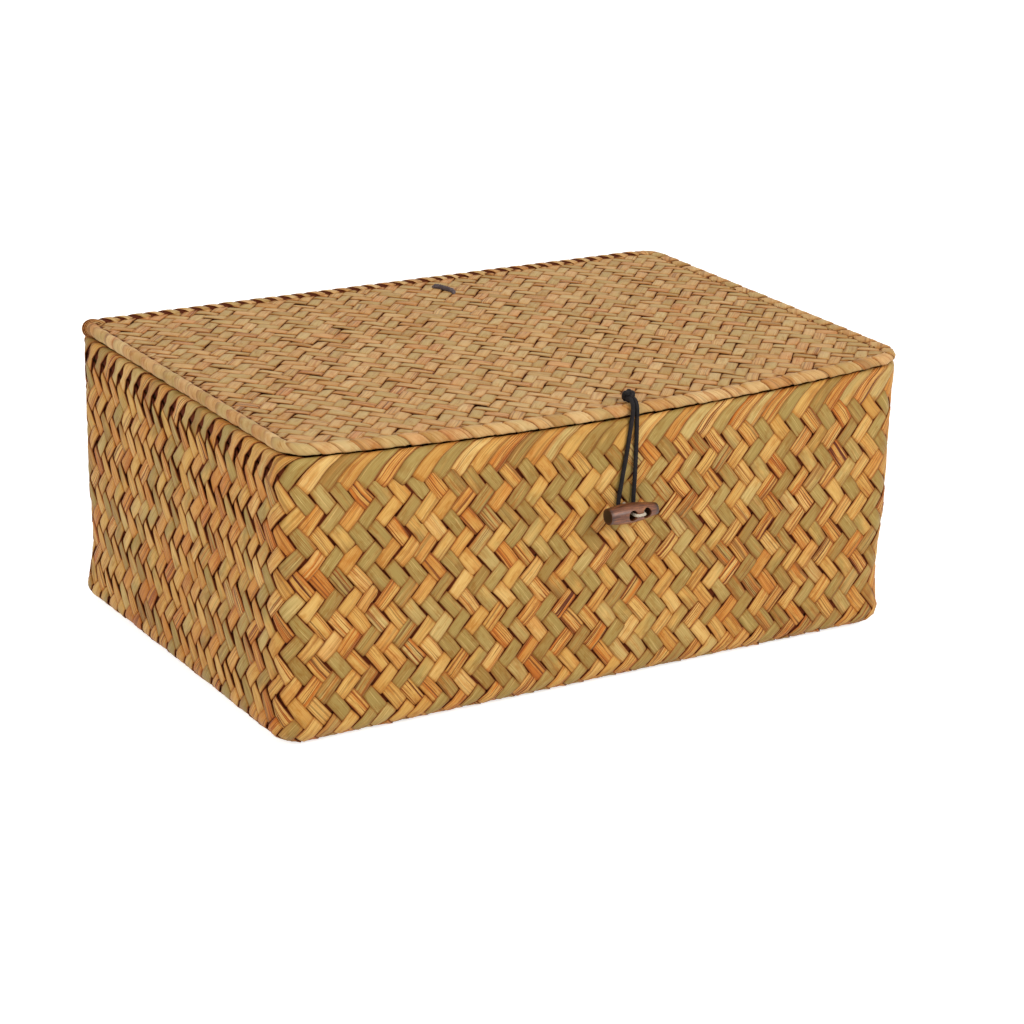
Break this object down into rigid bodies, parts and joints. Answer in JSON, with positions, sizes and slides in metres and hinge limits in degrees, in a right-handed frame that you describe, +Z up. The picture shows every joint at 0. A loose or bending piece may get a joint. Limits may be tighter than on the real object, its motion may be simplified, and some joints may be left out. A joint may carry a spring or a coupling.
{
  "type": "woven lidded box",
  "caption": "Rectangular double-walled plaited seagrass box with a flat plaited lid tied on at the back, closed by a cord loop over a wooden toggle.",
  "frame": {"origin": "middle of the underside of the base, on the surface that the box stands on", "axes": "+X along the length, -Y towards the front with the toggle, +Z up"},
  "size_m": [0.295, 0.2083, 0.125],
  "materials": {
    "seagrass": "dry plaited leaf, satin, straw to olive with orange streaks",
    "lid_seagrass": "dry plaited leaf, matt, paler tan",
    "cane": "smooth split cane",
    "black_cord": "braided cotton cord",
    "grey_cord": "twisted cord, worn dark grey",
    "cream_thread": "twisted cotton thread",
    "toggle_wood": "turned reddish-brown wood, oiled satin"
  },
  "bodies": {
    "basket": {"outer_basket": "seagrass", "inner_basket": "seagrass", "rim_fold": "seagrass", "toggle_shank": "cream_thread", "toggle_knot": "cream_thread", "hinge_wall_stitch": "grey_cord", "hinge_wall_knot": "grey_cord", "hinge_link": "grey_cord"},
    "lid": {"lid_top_mat": "lid_seagrass", "lid_lining_mat": "lid_seagrass", "lid_rim_core": "cane", "lid_rim_binding": "lid_seagrass", "hinge_lid_stitch": "grey_cord", "hinge_lid_knot": "grey_cord", "loop_knot": "black_cord", "loop_stop_knot": "black_cord"},
    "loop": {"loop_cord": "black_cord"},
    "toggle": {"toggle": "toggle_wood", "toggle_thread": "cream_thread"}
  },
  "joints": [
    {"name": "lid_hinge", "type": "hinge", "parent": "basket", "child": "lid", "pos_m": [0, 0.095, 0.1193], "axis": [-1, 0, 0], "range_deg": [0, 110], "deforming": ["hinge_link"]},
    {"name": "loop_swing", "type": "hinge", "parent": "lid", "child": "loop", "pos_m": [0.0073, -0.0953, 0.1172], "axis": [-1, 0, 0], "range_deg": [-90, 0], "deforming": ["loop_cord"]},
    {"name": "toggle_turn", "type": "hinge", "parent": "basket", "child": "toggle", "pos_m": [0.0045, -0.105, 0.078], "axis": [0, 1, 0], "range_deg": [-90, 90]}
  ],
  "couplings": [
    {"joint": "loop_swing", "follows": "lid_hinge", "ratio": -0.8}
  ]
}
